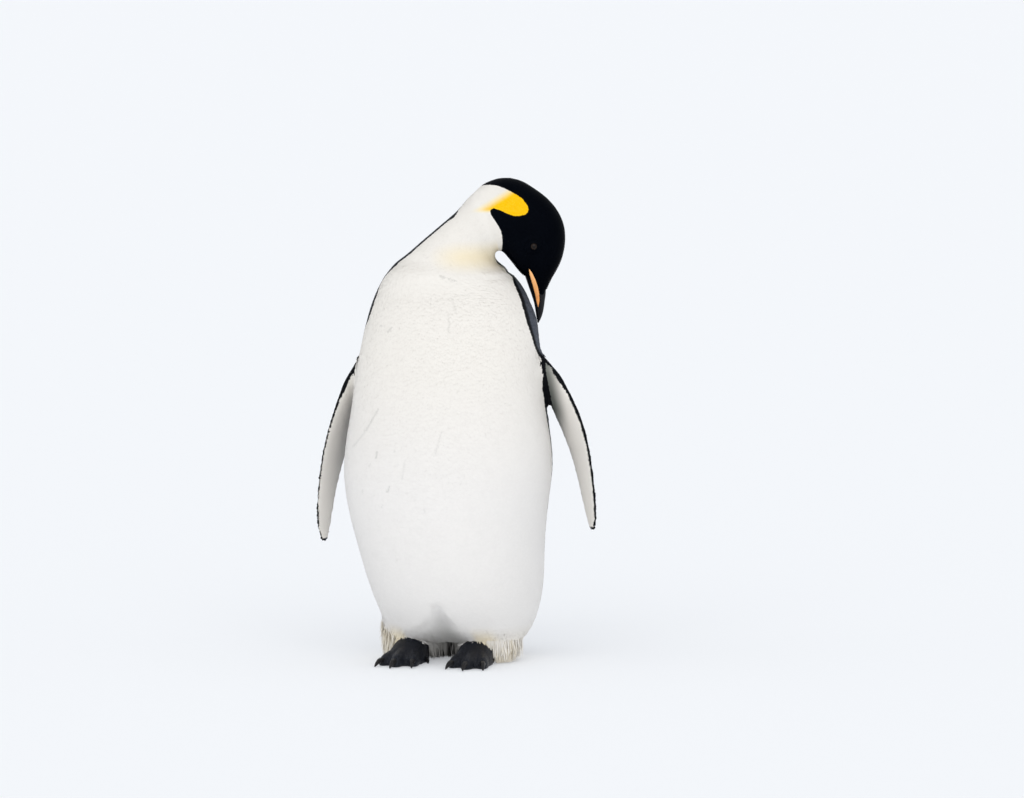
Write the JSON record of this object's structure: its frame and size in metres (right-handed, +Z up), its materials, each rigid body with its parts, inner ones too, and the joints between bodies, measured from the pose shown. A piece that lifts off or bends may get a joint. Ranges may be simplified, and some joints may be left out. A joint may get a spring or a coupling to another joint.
{
  "type": "emperor penguin",
  "caption": "Still, life-size emperor penguin standing on both feet, flippers a little out from its sides, head bent over its left shoulder with the bill pointing down.",
  "frame": {"origin": "on the floor, under the middle of the bird's box", "axes": "+Z up, the bird faces -Y, and +X is the bird's own left"},
  "size_m": [0.5568, 0.4574, 0.9306],
  "materials": {
    "white_plumage": "short dense white feathers, matt",
    "neck_plumage": "short dense white feathers washed with pale yellow, matt",
    "black_plumage": "very short black feathers with a faint silky sheen",
    "back_plumage": "short dense blue-grey feathers, matt",
    "bill_horn": "satin black horn",
    "bill_plate": "smooth orange horny plate",
    "eye": "wet dark brown",
    "foot_skin": "scaly black-grey skin",
    "claw_horn": "satin black horn"
  },
  "bodies": {
    "root": {"trunk": "white_plumage", "neck": "neck_plumage", "head": "black_plumage", "tail": "back_plumage", "bill_upper": "bill_horn", "bill_lower": "bill_horn", "bill_plate_right": "bill_plate", "eye_right": "eye", "flipper_right": "back_plumage", "leg_right": "white_plumage", "foot_right": "foot_skin", "claw_inner_right": "claw_horn", "claw_middle_right": "claw_horn", "claw_outer_right": "claw_horn", "claw_hind_right": "claw_horn", "bill_plate_left": "bill_plate", "eye_left": "eye", "flipper_left": "back_plumage", "leg_left": "white_plumage", "foot_left": "foot_skin", "claw_inner_left": "claw_horn", "claw_middle_left": "claw_horn", "claw_outer_left": "claw_horn", "claw_hind_left": "claw_horn"}
  },
  "joints": []
}
